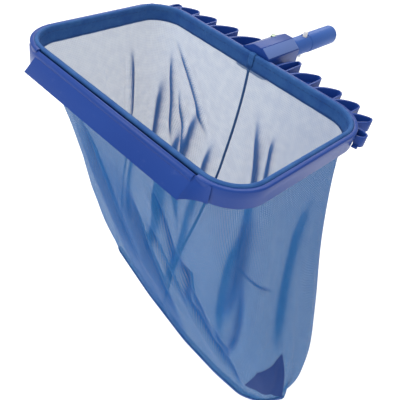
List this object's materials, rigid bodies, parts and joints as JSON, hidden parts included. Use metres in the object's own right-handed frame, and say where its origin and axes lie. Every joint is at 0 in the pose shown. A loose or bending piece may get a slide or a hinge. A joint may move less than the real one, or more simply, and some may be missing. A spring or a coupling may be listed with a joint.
{
  "type": "leaf skimmer net",
  "caption": "Deep mesh bag on a moulded hoop with a scoop blade, scalloped back edge and a pole spigot with two spring buttons.",
  "frame": {"origin": "on the pole axis, at the middle of the spigot's bearing land", "axes": "+Y along the pole axis out of the spigot's free end, +Z out of the net's mouth, +X along the mouth's long side"},
  "size_m": [0.4813, 0.4555, 0.485],
  "materials": {
    "frame_plastic": "moulded, slight sheen",
    "spigot_plastic": "moulded tube",
    "hem_tape": "woven tape",
    "mesh": "fine open mesh",
    "mesh_patch": "doubled mesh",
    "seam_tape": "folded tape",
    "rod_plastic": "drawn rod",
    "steel": "zinc plated",
    "spring_steel": "rolled strip",
    "button_plastic": "moulded",
    "blank_plate": "smooth, blank"
  },
  "bodies": {
    "root": {"rim_hoop": "frame_plastic", "hoop_screws": "steel", "net_hem": "hem_tape", "hem_rod": "rod_plastic", "scoop_blade": "frame_plastic", "blade_screws": "steel", "back_comb_right": "frame_plastic", "back_comb_left": "frame_plastic", "comb_screws": "steel", "spigot_tube": "spigot_plastic", "handle_cover": "frame_plastic", "handle_neck": "frame_plastic", "cover_screws": "steel", "clamp_washer": "steel", "clamp_bolt": "steel", "clamp_nut": "steel", "label_plate": "blank_plate", "spring_bend": "spring_steel", "bag_front": "mesh", "bag_right": "mesh", "bag_left": "mesh", "bag_back_right": "mesh", "bag_back_left": "mesh", "back_seam_tape": "seam_tape", "bag_toe": "mesh", "toe_patch": "mesh_patch"},
    "top_catch": {"spring_leg_top": "spring_steel", "button_top": "button_plastic"},
    "bottom_catch": {"spring_leg_bottom": "spring_steel", "button_bottom": "button_plastic"}
  },
  "joints": [
    {"name": "top_button_press", "type": "hinge", "parent": "root", "child": "top_catch", "pos_m": [0, 0.0146, 0.0036], "axis": [1, 0, 0], "range_deg": [0, 7.3], "stiffness_Nm_per_rad": 2, "springref_deg": -5.73},
    {"name": "bottom_button_press", "type": "hinge", "parent": "root", "child": "bottom_catch", "pos_m": [0, 0.0146, -0.0036], "axis": [-1, 0, 0], "range_deg": [0, 7.3], "stiffness_Nm_per_rad": 2, "springref_deg": -5.73}
  ]
}
